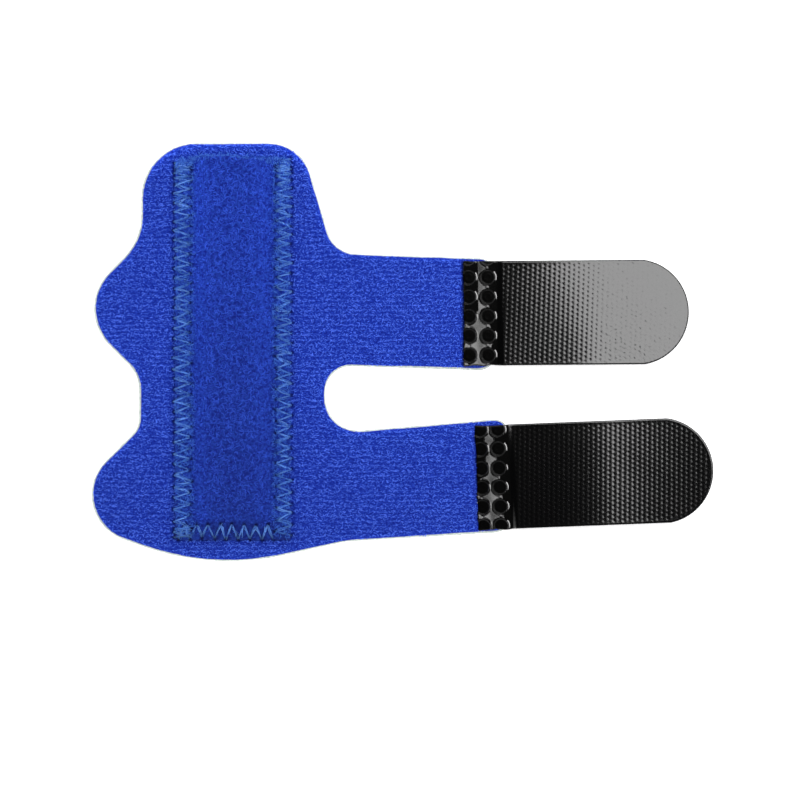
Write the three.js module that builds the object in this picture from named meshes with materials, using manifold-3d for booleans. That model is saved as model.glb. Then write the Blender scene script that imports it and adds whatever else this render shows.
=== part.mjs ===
// Finger splint: a soft wrap-round support for one finger, laid open and flat on a table.
// Units are millimetres and +Z is up. The finger would lie along Y; the two straps reach along +X.
// A pale foam sheet carries a loop fabric face. A tape sewn on the face forms a long flat pocket
// with an open mouth, and a hook tab is welded to the end of each strap.
import * as THREE from "three";
import { mergeVertices } from "three/addons/utils/BufferGeometryUtils.js";
import Module from "manifold-3d";

const wasm = await Module();
wasm.setup();

// Layers of the padded sheet
const foamThickness = 1.8;
const faceThickness = 0.7;
const bondGap = 0.05; // between layers that are bonded, sewn or welded together

// Plan of the sheet. x is measured from the pocket's centre line, y from the middle of the gap
// between the straps. Corners are stated before they are rounded.
const gapEnd = 17.7; // closed end of the gap
const gapHeight = 13.6; // between the straps at the closed end
const gapRoundUpper = 5.2;
const gapRoundLower = 6.6;
const flapHeight = 21.3; // fingertip flap, beyond the upper strap
const flapLeft = 17.6;
const flapRight = 13.1;
const flapRoundLeft = 10.5;
const flapRoundRight = 8.2;
const flankFoot = 19.5; // where the flap's slanted edge meets the upper strap
const flankRound = 6;
const shoulderRound = 11.8;
const upperWingReach = 30.8;
const upperWingRise = 0.1; // the upper wing's corner, above its strap's middle
const upperWingRound = 9.8;
const waistLeft = 18; // narrowest place, opposite the gap
const waistRoundUpper = 6.8;
const waistRoundLower = 4.5;
const lowerWingReach = 34.6;
const lowerWingDrop = 4.9; // the lower wing's corner, below its strap's middle
const lowerWingRound = 9;
const heelLeft = 4.1; // lowest corner of the palm end
const heelDrop = 5.5; // below the lower strap
const heelRound = 50;
const strapFootRight = 4.1; // the lower strap's outer edge starts this far past the gap's end
const strapFootRound = 15;
const arcTolerance = 0.03; // how far a facet may lie inside the true arc

// Straps. The tilt is that of the edge beside the gap, in degrees anticlockwise.
const straps = {
  upper: { side: 1, rootWidth: 21.4, endWidth: 21.4, tilt: -1.9, reach: 50.7, endRound: 3 },
  lower: { side: -1, rootWidth: 20.8, endWidth: 21.7, tilt: 4.8, reach: 53.2, endRound: 2.5 },
};

// Pocket: a loop tape sewn down on three sides, with its mouth at the fingertip end
const pocketWidth = 22.4;
const pocketMouthMargin = 2.4; // from the mouth to the sheet's fingertip end
const pocketHeelMargin = 3.9; // from the closed end to the sheet's palm end
const tapeThickness = 1;
const hemThickness = 0.65; // of the tape where it is sewn down
const hemWidth = 3.3;
const pocketHollow = 1.5; // clear height inside
const pocketShoulder = 3.2; // width over which the tape rises from its hem
const pocketClosing = 6; // length over which the closed end comes down to its hem
const pocketSteps = 8; // facets across one shoulder, and along the closed end

// Hook tabs: moulded tape, smooth side up, with rows of hooks below. Of each tab, the tilt is its
// turn in plan, the offset its place across its strap, and leave and land are the slopes of its
// free part at the weld and at the tip. All angles are in degrees.
const tabWidth = 20.2;
const tabThickness = 0.5;
const tabTipLength = 8.6; // length of the rounded tip
const tabSetIn = 6; // how far a tab lies over the end of its strap
const tabSteps = 12; // facets along the free part
const hookHeight = 0.75;
const hookRowPitch = 0.98;
const hookRowWidth = 0.4;
const hookMargin = 1.2; // bare tape at both ends of the hook rows
const tabs = {
  upper: { length: 43.6, tilt: 0.5, offset: 0, leave: 7, land: -8, pitShift: 1.4 },
  lower: { length: 45.8, tilt: 2.2, offset: -0.1, leave: 3, land: -1, pitShift: -0.4 },
};

// Weld: the tab's end is pressed into the strap by a tool with round pins
const weldLength = 6.5;
const weldThickness = 1;
const pressedFoam = 0.55;
const pressedFace = 0.35;
const pressRun = 0.9; // length over which the strap slopes down to the weld
const pitPitch = 3.77;
const pitEdge = 1.1; // from the tab's end to the first column of pits
const pitColumns = 2;
const pitRadius = 1.35;
const pitFloorRadius = 1.1;
const pitDepth = 0.55;
const pitNubRadius = 0.5;
const pitNubHeight = 0.18;
const pitFacets = 16;

const overshoot = 5; // how far a cutting solid runs past what it cuts
const mergeDistance = 1e-4;

const gapEdge = gapHeight / 2;
const faceUnderside = foamThickness + bondGap;
const faceTop = faceUnderside + faceThickness;
const pressedFaceUnderside = pressedFoam + bondGap;
const weldUnderside = pressedFaceUnderside + pressedFace + bondGap;
const weldTop = weldUnderside + weldThickness;

const radians = THREE.MathUtils.degToRad;
const { lerp, smoothstep } = THREE.MathUtils;

// Height in plan of a strap's edge at x: its inner edge lies beside the gap.
function innerEdge(strap, x) {
  return strap.side * gapEdge + (x - gapEnd) * Math.tan(radians(strap.tilt));
}

function outerEdge(strap, x) {
  const along = (x - gapEnd) / (strap.reach - gapEnd);
  return innerEdge(strap, x) + strap.side * lerp(strap.rootWidth, strap.endWidth, along);
}

function strapMiddle(strap, x) {
  return (innerEdge(strap, x) + outerEdge(strap, x)) / 2;
}

// Corners of the sheet's plan, anticlockwise from the heel, each with the radius that rounds it.
function sheetCorners() {
  const { upper, lower } = straps;
  const flapTop = gapEdge + upper.rootWidth + flapHeight;
  const heelY = -gapEdge - lower.rootWidth - heelDrop;
  const strapFoot = gapEnd + strapFootRight;
  const upperWingY = strapMiddle(upper, gapEnd) + upperWingRise;
  const lowerWingY = strapMiddle(lower, gapEnd) - lowerWingDrop;
  return [
    { x: -heelLeft, y: heelY, round: heelRound },
    { x: strapFoot, y: outerEdge(lower, strapFoot), round: strapFootRound },
    { x: lower.reach, y: outerEdge(lower, lower.reach), round: lower.endRound },
    { x: lower.reach, y: innerEdge(lower, lower.reach), round: lower.endRound },
    { x: gapEnd, y: -gapEdge, round: gapRoundLower },
    { x: gapEnd, y: gapEdge, round: gapRoundUpper },
    { x: upper.reach, y: innerEdge(upper, upper.reach), round: upper.endRound },
    { x: upper.reach, y: outerEdge(upper, upper.reach), round: upper.endRound },
    { x: flankFoot, y: outerEdge(upper, flankFoot), round: flankRound },
    { x: flapRight, y: flapTop, round: flapRoundRight },
    { x: -flapLeft, y: flapTop, round: flapRoundLeft },
    { x: -flapLeft, y: upperWingY + upperWingReach - flapLeft, round: shoulderRound },
    { x: -upperWingReach, y: upperWingY, round: upperWingRound },
    { x: -waistLeft, y: upperWingY - upperWingReach + waistLeft, round: waistRoundUpper },
    { x: -waistLeft, y: lowerWingY + lowerWingReach - waistLeft, round: waistRoundLower },
    { x: -lowerWingReach, y: lowerWingY, round: lowerWingRound },
  ];
}

// A closed polygon whose corners are replaced by tangent arcs. Two arcs that are too long for the
// edge between them shrink together.
function roundedOutline(corners) {
  const arcs = corners.map((corner, i) => {
    const here = new THREE.Vector2(corner.x, corner.y);
    const back = new THREE.Vector2().copy(corners.at(i - 1)).sub(here);
    const ahead = new THREE.Vector2().copy(corners[(i + 1) % corners.length]).sub(here);
    const edge = ahead.length();
    const half = Math.acos(back.dot(ahead) / (back.length() * edge)) / 2;
    const tangent = corner.round / Math.tan(half);
    return { here, back: back.normalize(), ahead: ahead.normalize(), edge, half, tangent };
  });
  const share = (i) => {
    const arc = arcs.at(i);
    return Math.min(1, arc.edge / (arc.tangent + arcs[(i + 1) % arcs.length].tangent));
  };
  const points = [];
  arcs.forEach(({ here, back, ahead, half, tangent }, i) => {
    const length = tangent * Math.min(share(i - 1), share(i));
    const radius = length * Math.tan(half);
    const inward = back.clone().add(ahead).normalize();
    const centre = inward.multiplyScalar(radius / Math.sin(half)).add(here);
    const start = back.clone().multiplyScalar(length).add(here).sub(centre);
    const end = ahead.clone().multiplyScalar(length).add(here).sub(centre);
    const sweep = Math.atan2(start.cross(end), start.dot(end));
    const step = 2 * Math.acos(1 - arcTolerance / Math.max(radius, arcTolerance));
    const count = Math.max(2, Math.ceil(Math.abs(sweep) / step));
    for (let k = 0; k <= count; k++) {
      const turn = start.angle() + (sweep * k) / count;
      const spoke = new THREE.Vector2(Math.cos(turn), Math.sin(turn)).multiplyScalar(radius);
      points.push(spoke.add(centre));
    }
  });
  return points;
}

const sheetOutline = roundedOutline(sheetCorners());

// A closed three.js geometry as a manifold-3d solid, and back.
function solidOf(geometry) {
  const bare = geometry.clone();
  bare.deleteAttribute("normal");
  bare.deleteAttribute("uv");
  const merged = mergeVertices(bare, mergeDistance);
  return new wasm.Manifold(
    new wasm.Mesh({
      numProp: 3,
      vertProperties: merged.attributes.position.array,
      triVerts: new Uint32Array(merged.index.array),
    }),
  );
}

function geometryOf(solid) {
  const mesh = solid.getMesh();
  const geometry = new THREE.BufferGeometry();
  geometry.setAttribute("position", new THREE.BufferAttribute(mesh.vertProperties, 3));
  geometry.setIndex(new THREE.BufferAttribute(mesh.triVerts, 1));
  geometry.computeVertexNormals();
  return geometry;
}

// A plan outline raised from low to high.
function raised(outline, low, high) {
  const options = { depth: high - low, bevelEnabled: false };
  return new THREE.ExtrudeGeometry(new THREE.Shape(outline), options).translate(0, 0, low);
}

// A side profile, with z as its second coordinate, drawn out across y by a width, half each way.
function drawnAcross(profile, width) {
  const options = { depth: width, bevelEnabled: false };
  return new THREE.ExtrudeGeometry(new THREE.Shape(profile), options)
    .rotateX(Math.PI / 2)
    .translate(0, width / 2, 0);
}

const point = (x, z) => new THREE.Vector2(x, z);

// Each tab has its own frame: x along the tab from its welded end, y across it from its middle.
function tabPlacement(name) {
  const strap = straps[name];
  const x = strap.reach - tabSetIn;
  return new THREE.Matrix4()
    .makeRotationZ(radians(tabs[name].tilt))
    .setPosition(x, strapMiddle(strap, x) + tabs[name].offset, 0);
}

// A layer of the sheet between two heights, pressed thin under the weld at the end of each strap.
function sheetLayer(low, high, pressedLow, pressedHigh) {
  const column = solidOf(raised(sheetOutline, low - overshoot, high + overshoot));
  let layer = solidOf(raised(sheetOutline, low, high));
  for (const [name, strap] of Object.entries(straps)) {
    const placement = tabPlacement(name);
    const width = Math.max(strap.rootWidth, strap.endWidth) + gapEdge;
    const far = tabSetIn + overshoot;
    const below = low - overshoot;
    const above = high + overshoot;
    const cut = drawnAcross(
      [point(-pressRun, below), point(far, below), point(far, above), point(-pressRun, above)],
      width,
    );
    const end = drawnAcross(
      [
        point(-2 * pressRun, low), point(-pressRun, low), point(0, pressedLow),
        point(far, pressedLow), point(far, pressedHigh), point(0, pressedHigh),
        point(-pressRun, high), point(-2 * pressRun, high),
      ],
      width,
    );
    const pressed = column.intersect(solidOf(end.applyMatrix4(placement)));
    layer = layer.subtract(solidOf(cut.applyMatrix4(placement))).add(pressed);
  }
  return geometryOf(layer);
}

function foamBacking() {
  return sheetLayer(0, foamThickness, 0, pressedFoam);
}

function loopFace() {
  const pressedTop = pressedFaceUnderside + pressedFace;
  return sheetLayer(faceUnderside, faceTop, pressedFaceUnderside, pressedTop);
}

// A closed body between an upper and a lower sheet of points, given as rows of equal length.
// Rows follow each other along +Y and their points along +X.
function thickSheet(upper, lower) {
  const across = upper[0].length;
  const loop = 2 * across;
  const last = (upper.length - 1) * loop;
  const positions = [];
  const faces = [];
  const quad = (a, b, c, d) => faces.push(a, b, c, a, c, d);
  upper.forEach((row, i) => {
    const round = [...row, ...lower[i].toReversed()];
    positions.push(...round.flatMap((p) => [p.x, p.y, p.z]));
  });
  for (let start = 0; start < last; start += loop) {
    for (let k = 0; k < loop; k++) {
      const a = start + k;
      const b = start + ((k + 1) % loop);
      quad(a, b, b + loop, a + loop);
    }
  }
  for (let k = 0; k + 1 < across; k++) {
    quad(k, loop - 1 - k, loop - 2 - k, k + 1);
    quad(last + k, last + k + 1, last + loop - 2 - k, last + loop - 1 - k);
  }
  const geometry = new THREE.BufferGeometry();
  geometry.setAttribute("position", new THREE.Float32BufferAttribute(positions, 3));
  geometry.setIndex(faces);
  geometry.computeVertexNormals();
  return geometry;
}

// Places from one edge of the pocket inwards: the hem's edge, then steps over the rise.
function stepsFrom(edge, rise) {
  const steps = Array.from({ length: pocketSteps + 1 }, (_, k) => (rise * k) / pocketSteps);
  return [edge, ...steps.map((step) => edge + hemWidth + step)];
}

// The pocket tape arches over its hollow between two sewn hems, and its closed end is sewn too.
function stayPocket() {
  const half = pocketWidth / 2;
  const ys = sheetOutline.map((p) => p.y);
  const heelY = Math.min(...ys) + pocketHeelMargin;
  const mouthY = Math.max(...ys) - pocketMouthMargin;
  const left = stepsFrom(-half, pocketShoulder);
  const columns = [...left, ...left.toReversed().map((x) => -x)];
  const rows = [...stepsFrom(heelY, pocketClosing), mouthY];
  const rise = (x, y) => {
    const overHem = half - Math.abs(x) - hemWidth;
    const pastHem = y - heelY - hemWidth;
    return smoothstep(overHem, 0, pocketShoulder) * smoothstep(pastHem, 0, pocketClosing);
  };
  const seat = faceTop + bondGap;
  const under = rows.map((y) =>
    columns.map((x) => new THREE.Vector3(x, y, seat + pocketHollow * rise(x, y))),
  );
  const over = under.map((row) =>
    row.map((p) => {
      const thickness = lerp(hemThickness, tapeThickness, rise(p.x, p.y));
      return new THREE.Vector3(p.x, p.y, p.z + thickness);
    }),
  );
  return thickSheet(over, under);
}

// Plan of a tab in its own frame: straight sides and a round tip.
function tabPlan(length) {
  const half = tabWidth / 2;
  const radius = (half * half + tabTipLength * tabTipLength) / (2 * tabTipLength);
  const spread = Math.asin(half / radius);
  const shape = new THREE.Shape();
  shape.moveTo(0, -half);
  shape.lineTo(length - tabTipLength, -half);
  shape.absarc(length - radius, 0, radius, -spread, spread, false);
  shape.lineTo(0, half);
  return shape.getPoints(tabSteps);
}

// Side profile of a tab: a thick welded end, then the free tape, which bows and comes down to
// rest on its hooks. The rows of hooks are ribs below it.
function tabProfile({ length, leave, land }) {
  const tipTop = hookHeight + tabThickness;
  const free = length - weldLength;
  const reach = free / 3;
  const bow = new THREE.CubicBezierCurve(
    point(weldLength, weldTop),
    point(weldLength + reach, weldTop + reach * Math.tan(radians(leave))),
    point(length - reach, tipTop - reach * Math.tan(radians(land))),
    point(length, tipTop),
  );
  const underAt = (x) => bow.getPoint((x - weldLength) / free).y - tabThickness;
  const under = [
    point(0, weldUnderside),
    point(weldLength, weldUnderside),
    point(weldLength, weldTop - tabThickness),
  ];
  const rows = Math.floor((free - 2 * hookMargin) / hookRowPitch);
  for (let row = 0; row < rows; row++) {
    const near = weldLength + hookMargin + row * hookRowPitch;
    const far = near + hookRowWidth;
    under.push(point(near, underAt(near)));
    under.push(point(near, underAt(near) - hookHeight));
    under.push(point(far, underAt(far) - hookHeight));
    under.push(point(far, underAt(far)));
  }
  under.push(point(length, tipTop - tabThickness));
  return [...under, ...bow.getPoints(tabSteps).reverse(), point(0, weldTop)];
}

// The dent of one pin of the weld tool, with its rim at z = 0.
function weldPit() {
  const profile = [
    point(0, pitNubHeight - pitDepth),
    point(pitNubRadius, -pitDepth),
    point(pitFloorRadius, -pitDepth),
    point(pitRadius, 0),
    point(pitRadius, weldThickness),
    point(0, weldThickness),
  ];
  return solidOf(new THREE.LatheGeometry(profile, pitFacets).rotateX(Math.PI / 2));
}

function hookTab(name) {
  const tab = tabs[name];
  const plan = solidOf(raised(tabPlan(tab.length), -overshoot, weldTop + overshoot));
  const pit = weldPit();
  const pitRows = Math.ceil(tabWidth / pitPitch);
  let body = plan.intersect(solidOf(drawnAcross(tabProfile(tab), tabWidth + overshoot)));
  for (let column = 0; column < pitColumns; column++) {
    for (let row = 0; row < pitRows; row++) {
      const x = pitEdge + column * pitPitch;
      const y = (row - (pitRows - 1) / 2) * pitPitch + tab.pitShift;
      body = body.subtract(pit.translate([x, y, weldTop]));
    }
  }
  return geometryOf(body).applyMatrix4(tabPlacement(name));
}

const blueLoop = new THREE.MeshStandardMaterial({ color: 0x2340b4, roughness: 0.95 });
const bluePile = new THREE.MeshStandardMaterial({ color: 0x1c3798, roughness: 1 });
const paleFoam = new THREE.MeshStandardMaterial({ color: 0xc9cfc6, roughness: 0.9 });
const blackPlastic = new THREE.MeshStandardMaterial({ color: 0x17181a, roughness: 0.42 });
for (const material of [blueLoop, bluePile, paleFoam, blackPlastic]) material.metalness = 0;

const splint = new THREE.Group();

function addPiece(name, geometry, material) {
  const mesh = new THREE.Mesh(geometry, material.clone());
  mesh.name = name;
  splint.add(mesh);
}

addPiece("foam_backing", foamBacking(), paleFoam);
addPiece("loop_face", loopFace(), blueLoop);
addPiece("stay_pocket", stayPocket(), bluePile);
addPiece("hook_tab_upper", hookTab("upper"), blackPlastic);
addPiece("hook_tab_lower", hookTab("lower"), blackPlastic);

// The origin is the middle of the face that the splint rests on.
const box = new THREE.Box3().setFromObject(splint);
const middle = box.getCenter(new THREE.Vector3());
splint.position.set(-middle.x, -middle.y, -box.min.z);

export default splint;
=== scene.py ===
import math

import bpy
import numpy as np
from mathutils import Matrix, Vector
from mathutils.geometry import delaunay_2d_cdt
from mathutils.kdtree import KDTree


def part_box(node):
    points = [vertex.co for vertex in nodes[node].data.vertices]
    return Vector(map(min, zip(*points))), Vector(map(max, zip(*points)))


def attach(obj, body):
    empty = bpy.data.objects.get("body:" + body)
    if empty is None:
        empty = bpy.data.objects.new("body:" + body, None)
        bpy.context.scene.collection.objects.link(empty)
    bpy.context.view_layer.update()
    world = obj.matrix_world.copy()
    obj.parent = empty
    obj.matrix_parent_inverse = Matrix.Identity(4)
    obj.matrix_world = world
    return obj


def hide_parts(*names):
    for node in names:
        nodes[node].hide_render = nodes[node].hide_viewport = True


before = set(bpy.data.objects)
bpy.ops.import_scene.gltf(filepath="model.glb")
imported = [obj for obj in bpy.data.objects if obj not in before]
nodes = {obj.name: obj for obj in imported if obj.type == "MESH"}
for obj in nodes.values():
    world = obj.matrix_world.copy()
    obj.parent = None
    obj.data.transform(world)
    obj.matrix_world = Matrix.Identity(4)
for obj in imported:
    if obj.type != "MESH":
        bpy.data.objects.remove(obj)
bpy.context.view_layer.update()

# Sizes are in millimetres in the row frame unless they say otherwise. MM turns them into metres.
MM = 0.001

FOAM_TOP = 1.8
FACE_TOP = 2.55
PRESSED_FOAM_TOP = 0.55
PRESSED_FACE_TOP = 0.95
PRESS_RUN = 0.9

HEM_WIDTH = 3.3
HEM_THICKNESS = 0.65
TAPE_THICKNESS = 1.0
POCKET_HOLLOW = 1.5
POCKET_SHOULDER = 4.6
POCKET_CLOSING = 6.0

TAB_WIDTH = 20.2
TAB_THICKNESS = 0.5
TAB_TIP = 8.6
# How far apart, across a tab, its two lines of slopes lie.
TAB_RULING = 17.4
WELD_LENGTH = 6.5
WELD_UNDERSIDE = 1.0

# Each tab's place and its tilt in degrees, its heights, and how its face slopes along two lines near
# its sides: (distance from the welded end, degrees down). Then its weld: the pits' columns and rows,
# how far the plates between them tip and reach at the tab's upper and lower side, and where its dots fade.
UPPER_TAB = dict(
    name="upper", x=11.82, y=7.41, tilt=0.5, length=43.6, weld_top=2.5, tip_top=1.25,
    high_slopes=(
        (6.5, -2.3), (9.8, -1.4), (12.5, -0.35), (15.2, 0.4), (20.6, 1.9), (28.7, 3.5), (44, 4.1),
    ),
    low_slopes=((6.5, -1.2), (9.8, 0.55), (15.2, 0.65), (20.6, 0.95), (23.3, 2.0), (26, 3.6), (44, 4.3)),
    columns=(0.95, 4.65), row_pitch=3.77, row_shift=1.3,
    tips=(1.5, 6.5), left_reach=(-0.3, 2.9), right_reach=(1.9, 2.9), dots_end=28, seed=1, edge_seed=86,
)
LOWER_TAB = dict(
    name="lower", x=14.32, y=-24.39, tilt=2.2, length=45.8, weld_top=1.88, tip_top=2.65,
    high_slopes=(
        (6.5, -2.5), (15.4, -2.7), (20.8, -1.5), (26.2, 0.8), (31.6, 0.1), (39.8, -1.1), (46, -1.8),
    ),
    low_slopes=(
        (6.5, -2.2), (15.4, -2.4), (20.8, -0.9), (26.2, 1.7), (31.6, 0.9), (39.8, -0.3), (46, -1.0),
    ),
    columns=(0.9, 4.35), row_pitch=3.73, row_shift=-0.15,
    tips=(3, 6.5), left_reach=(1.1, 2.9), right_reach=(0.9, 2.9), dots_end=80, seed=2, edge_seed=88,
)
TABS = (UPPER_TAB, LOWER_TAB)
PIT_ROWS = 6
PIT_RADIUS = 1.3
RIDGE_RADIUS = 1.55
PLATE_EDGE = 1.6

DOT_COLUMN = 0.948
DOT_ROW = 0.903
DOT_SKEW = -2.5

STITCH_STEP = 0.98
THREAD_RADIUS = 0.115
HOLE_RADIUS = 0.34

PILE_STRANDS = 11500
MOUTH_FIBRES = 1100
HEM_FIBRES = 3200

CAMERA_PLACE = (-0.53, -9.32, 1292.5)
FLOOR_REACH = 3000


def smooth(low, high, value):
    """0 below low, 1 above high and an even curve between them."""
    t = np.clip((value - low) / (high - low), 0, 1)
    return t * t * (3 - 2 * t)


def mix(a, b, share):
    return a + (b - a) * share


def noise(x, y, cell, seed):
    """Smooth values from -1 to 1 that change over about one cell."""
    side = 256
    lattice = np.random.default_rng(seed).uniform(-1, 1, (side, side))
    u = np.asarray(x) / cell + 31.7
    v = np.asarray(y) / cell + 57.3
    i = np.floor(u).astype(int)
    j = np.floor(v).astype(int)
    f = u - i
    g = v - j
    f = f * f * (3 - 2 * f)
    g = g * g * (3 - 2 * g)
    near = mix(lattice[i % side, j % side], lattice[(i + 1) % side, j % side], f)
    far = mix(lattice[i % side, (j + 1) % side], lattice[(i + 1) % side, (j + 1) % side], f)
    return mix(near, far, g)


def turn_parts(degrees):
    """The cosine and sine of an angle."""
    return math.cos(math.radians(degrees)), math.sin(math.radians(degrees))


def colour(red, green, blue):
    """A screen colour from 0 to 255 as a linear colour for a shader."""
    parts = [c / 255 for c in (red, green, blue)]
    return [c / 12.92 if c <= 0.04045 else ((c + 0.055) / 1.055) ** 2.4 for c in parts] + [1.0]


def joined(parts):
    """Several (points, faces) pairs as one."""
    points = []
    faces = []
    count = 0
    for part_points, part_faces in parts:
        points.append(part_points)
        faces.append(np.asarray(part_faces) + count)
        count += len(part_points)
    return np.vstack(points), np.vstack(faces)


def sewn(points, faces):
    """Merges points that lie in one place, so that patches share their seams."""
    keys = np.round(points / 1e-4).astype(np.int64)
    _, first, back = np.unique(keys, axis=0, return_index=True, return_inverse=True)
    faces = back.reshape(-1)[faces]
    whole = (faces[:, 0] != faces[:, 1]) & (faces[:, 1] != faces[:, 2]) & (faces[:, 2] != faces[:, 0])
    return points[first], faces[whole]


def add_object(name, points, faces, materials, kinds=None, shade=None):
    """One smooth mesh object. kinds numbers each face's material, and shade, painted light and shade,
    scales each point's colour.
    """
    mesh = bpy.data.meshes.new(name)
    faces = np.asarray(faces, dtype=np.int32)
    mesh.vertices.add(len(points))
    mesh.vertices.foreach_set("co", (np.asarray(points) * MM).astype(np.float32).ravel())
    mesh.loops.add(faces.size)
    mesh.loops.foreach_set("vertex_index", faces.ravel())
    mesh.polygons.add(len(faces))
    mesh.polygons.foreach_set("loop_start", np.arange(0, faces.size, 3, dtype=np.int32))
    mesh.polygons.foreach_set("use_smooth", np.ones(len(faces), dtype=bool))
    for material in materials:
        mesh.materials.append(material)
    if kinds is not None:
        mesh.polygons.foreach_set("material_index", np.asarray(kinds, dtype=np.int32))
    if shade is not None:
        mesh.attributes.new("shade", "FLOAT", "POINT").data.foreach_set("value", shade.astype(np.float32))
    mesh.update(calc_edges=True)
    mesh.validate()
    piece = bpy.data.objects.new(name, mesh)
    bpy.context.scene.collection.objects.link(piece)
    return piece


def quads(rows, across, closed=False):
    """Triangles over a grid of points stored row by row; closed joins each row's ends."""
    i = np.arange(rows - 1)[:, None] * across
    j = np.arange(across if closed else across - 1)[None, :]
    k = (j + 1) % across
    a, b, c, d = i + j, i + k, i + across + k, i + across + j
    return np.concatenate([np.stack([a, b, c], -1), np.stack([a, c, d], -1)]).reshape(-1, 3)


def level(plan, height):
    """Plan points with their heights as the third coordinate."""
    return np.column_stack([plan, np.broadcast_to(height, len(plan))])


def evenly(loop, spacing):
    """A closed loop with its points moved to even distances."""
    ring = np.vstack([loop, loop[:1]])
    along = np.concatenate([[0], np.cumsum(np.hypot(*np.diff(ring, axis=0).T))])
    count = max(8, int(round(along[-1] / spacing)))
    places = np.linspace(0, along[-1], count, endpoint=False)
    return np.column_stack([np.interp(places, along, ring[:, k]) for k in (0, 1)])


def outward(loop):
    """Unit vectors that point away from an anticlockwise loop, evened out round its corners."""
    along = np.roll(loop, -1, axis=0) - np.roll(loop, 1, axis=0)
    out = np.column_stack([along[:, 1], -along[:, 0]])
    out = (np.roll(out, 1, axis=0) + 2 * out + np.roll(out, -1, axis=0)) / 4
    return out / np.hypot(*out.T)[:, None]


def grid_inside(loop, step_x, step_y, margin, seed=None):
    """Points of a staggered grid that lie inside a loop, at least margin from it."""
    low = loop.min(axis=0)
    high = loop.max(axis=0)
    ahead = np.roll(loop, -1, axis=0)
    rng = np.random.default_rng(seed)
    found = []
    for k, y in enumerate(np.arange(low[1] + 1e-3, high[1], step_y)):
        x = np.arange(low[0], high[0], step_x) + (k % 2) * 0.5 * step_x
        crossing = (loop[:, 1] > y) != (ahead[:, 1] > y)
        a, b = loop[crossing], ahead[crossing]
        cuts = np.sort(a[:, 0] + (y - a[:, 1]) / (b[:, 1] - a[:, 1]) * (b[:, 0] - a[:, 0]))
        x = x[np.searchsorted(cuts, x) % 2 == 1]
        found.append(np.column_stack([x, np.full(len(x), y)]))
    found = np.vstack(found)
    if seed is not None:
        found += rng.uniform(-0.18, 0.18, found.shape) * (step_x, step_y)
    return found[edge_distance(loop, found) > margin]


def edge_distance(loop, plan):
    """Distance from each plan point to the nearest place on a loop."""
    dense = evenly(loop, 0.1)
    tree = KDTree(len(dense))
    for k, p in enumerate(dense.tolist()):
        tree.insert((p[0], p[1], 0), k)
    tree.balance()
    return np.array([tree.find((p[0], p[1], 0))[2] for p in plan.tolist()])


def filled(loop, inner):
    """Triangles over a closed loop and the loose points inside it."""
    every = np.vstack([loop, inner]) if len(inner) else loop
    made = delaunay_2d_cdt([Vector(p) for p in every.tolist()], [], [list(range(len(loop)))], 1, 1e-7)
    points = np.array([tuple(p) for p in made[0]])
    faces = np.array(made[2])
    a, b, c = (points[faces[:, k]] for k in range(3))
    turn = (b[:, 0] - a[:, 0]) * (c[:, 1] - a[:, 1]) - (b[:, 1] - a[:, 1]) * (c[:, 0] - a[:, 0])
    faces[turn < 0] = faces[turn < 0][:, ::-1]
    return points, faces


def wall(rings):
    """Triangles between rings of equal length, from the lowest up."""
    return np.vstack(rings), quads(len(rings), len(rings[0]), closed=True)


def strands(plan, ground, heading, length, bend, lift, width, steps):
    """Short curved strands that arch over the ground, each with a ridge along its middle."""
    count = len(plan)
    t = np.linspace(0, 1, steps + 1)[None, :]
    along = (t - 0.5) * length[:, None]
    aside = bend[:, None] * length[:, None] * ((2 * t - 1) ** 2 - 0.4)
    c, s = np.cos(heading)[:, None], np.sin(heading)[:, None]
    x = plan[:, :1] + c * along - s * aside
    y = plan[:, 1:] + s * along + c * aside
    z = ground[:, None] + lift[:, None] * (1 - (2 * t - 1) ** 2)
    dx, dy = np.gradient(x, axis=1), np.gradient(y, axis=1)
    norm = np.hypot(dx, dy)
    half = 0.5 * width[:, None] * (0.5 + 0.5 * np.sin(math.pi * t))
    side_x, side_y = -dy / norm * half, dx / norm * half
    left = np.stack([x + side_x, y + side_y, z - 0.8 * half], -1)
    middle = np.stack([x, y, z], -1)
    right = np.stack([x - side_x, y - side_y, z - 0.8 * half], -1)
    points = np.stack([right, middle, left], 2).reshape(-1, 3)
    one = quads(steps + 1, 3)
    faces = one[None] + (np.arange(count) * 3 * (steps + 1))[:, None, None]
    return points, faces.reshape(-1, 3)


def tube(path, radius, sides):
    """A round tube along a path of points, open at both ends."""
    radius = np.broadcast_to(radius, len(path))
    along = np.gradient(path, axis=0)
    along /= np.linalg.norm(along, axis=1)[:, None]
    up = np.array([0.02, 0.01, 1.0])
    side = np.cross(along, up)
    side /= np.linalg.norm(side, axis=1)[:, None]
    over = np.cross(side, along)
    turn = np.linspace(0, 2 * math.pi, sides, endpoint=False)
    ring = np.cos(turn)[None, :, None] * side[:, None] + np.sin(turn)[None, :, None] * over[:, None]
    points = path[:, None] + radius[:, None, None] * ring
    return points.reshape(-1, 3), quads(len(path), sides, closed=True)[:, ::-1]


def material(name, roughness, specular=0.5):
    made = bpy.data.materials.new(name)
    made.use_nodes = True
    shader = made.node_tree.nodes["Principled BSDF"]
    shader.inputs["Roughness"].default_value = roughness
    shader.inputs["Specular IOR Level"].default_value = specular
    return made, made.node_tree, shader


def noise_node(tree, cell):
    """Noise over the object's own coordinates, with cells in millimetres."""
    place = tree.nodes.new("ShaderNodeTexCoord")
    texture = tree.nodes.new("ShaderNodeTexNoise")
    texture.inputs["Scale"].default_value = 1 / (cell * MM)
    texture.inputs["Detail"].default_value = 2
    tree.links.new(place.outputs["Object"], texture.inputs["Vector"])
    return texture


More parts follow.
